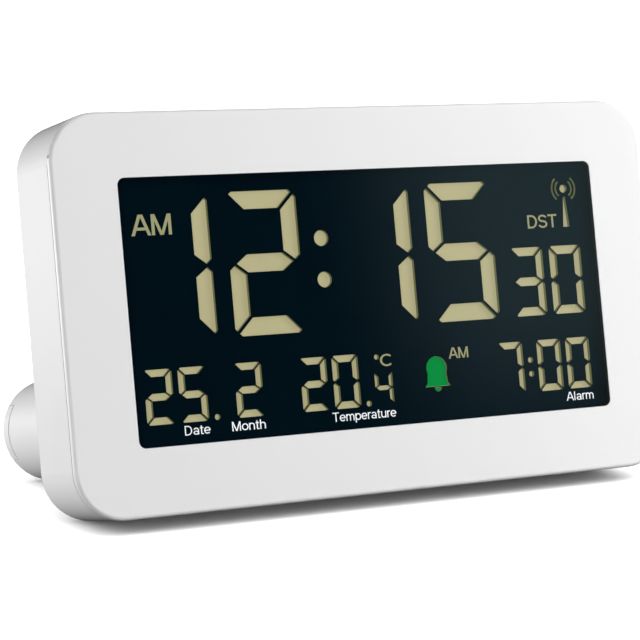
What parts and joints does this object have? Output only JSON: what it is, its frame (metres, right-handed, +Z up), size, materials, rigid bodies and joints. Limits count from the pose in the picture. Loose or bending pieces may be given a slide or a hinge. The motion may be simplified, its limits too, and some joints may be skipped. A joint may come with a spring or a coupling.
{
  "type": "radio-controlled alarm clock",
  "caption": "Leaning desk alarm clock with a wide segment display in a rounded white case, a snooze bar along the top and a battery pod behind that props it up.",
  "frame": {"origin": "on the standing surface, under the middle of the clock's bounding box", "axes": "+X to the right as the face is read, +Y from the face to the back, +Z up"},
  "size_m": [0.135, 0.0638, 0.0802],
  "materials": {
    "case_white": "fine satin moulding",
    "button_grey": "satin moulding",
    "clear_lens": "polished clear",
    "display_dark": "dark glass film",
    "display_glow": "pale diffusing film",
    "symbol_green": "green film",
    "guide_clear": "clear moulding",
    "led_white": "moulded light",
    "holder_grey": "plain moulding",
    "elastomer": "soft strip",
    "board_green": "lacquered laminate",
    "chip_black": "plain moulding",
    "bright_steel": "plated",
    "capacitor_blue": "sleeved can",
    "ferrite": "sintered",
    "coil_copper": "enamelled wire",
    "sensor_brown": "dipped bead",
    "cell_wrap": "plain wrapped can",
    "lead_red": "insulated wire"
  },
  "bodies": {
    "case": {"front_bezel": "case_white", "rear_housing": "case_white", "display_lens": "clear_lens", "lcd_mask": "display_dark", "lcd_reflector": "display_glow", "alarm_symbol": "symbol_green", "light_guide": "guide_clear", "backlight_leds": "led_white", "lcd_holder": "holder_grey", "elastomer_strips": "elastomer", "main_board": "board_green", "receiver_board": "board_green", "controller_chip": "chip_black", "buzzer": "chip_black", "button_switches": "chip_black", "snooze_switches": "chip_black", "alarm_switch": "chip_black", "quartz_crystal": "bright_steel", "battery_spring": "bright_steel", "battery_contact": "bright_steel", "case_screws": "bright_steel", "board_screws": "bright_steel", "capacitors": "capacitor_blue", "antenna_rod": "ferrite", "antenna_coil": "coil_copper", "antenna_leads": "coil_copper", "temperature_sensor": "sensor_brown", "battery_cell_left": "cell_wrap", "battery_cell_right": "cell_wrap", "battery_leads": "lead_red"},
    "snooze": {"snooze_bar": "case_white"},
    "time_key": {"time_button": "button_grey"},
    "alarm_key": {"alarm_button": "button_grey"},
    "up_key": {"up_button": "button_grey"},
    "down_key": {"down_button": "button_grey"},
    "receive_key": {"receive_button": "button_grey"},
    "alarm_switch_knob": {"alarm_slider": "button_grey"},
    "door": {"battery_door": "case_white"}
  },
  "joints": [
    {"name": "snooze_press", "type": "slide", "parent": "case", "child": "snooze", "axis": [0, -0.1908, -0.9816], "range_m": [0, 0.0004], "stiffness_N_per_m": 1500},
    {"name": "time_press", "type": "slide", "parent": "case", "child": "time_key", "axis": [0, -0.9816, 0.1908], "range_m": [0, 0.0007], "stiffness_N_per_m": 800},
    {"name": "alarm_press", "type": "slide", "parent": "case", "child": "alarm_key", "axis": [0, -0.9816, 0.1908], "range_m": [0, 0.0007], "stiffness_N_per_m": 800},
    {"name": "up_press", "type": "slide", "parent": "case", "child": "up_key", "axis": [0, -0.9816, 0.1908], "range_m": [0, 0.0007], "stiffness_N_per_m": 800},
    {"name": "down_press", "type": "slide", "parent": "case", "child": "down_key", "axis": [0, -0.9816, 0.1908], "range_m": [0, 0.0007], "stiffness_N_per_m": 800},
    {"name": "receive_press", "type": "slide", "parent": "case", "child": "receive_key", "axis": [0, -0.9816, 0.1908], "range_m": [0, 0.0007], "stiffness_N_per_m": 800},
    {"name": "alarm_slide", "type": "slide", "parent": "case", "child": "alarm_switch_knob", "axis": [1, 0, 0], "range_m": [0, 0.003]},
    {"name": "door_pull", "type": "slide", "parent": "case", "child": "door", "axis": [0, 0.9816, -0.1908], "range_m": [0, 0.006]}
  ]
}
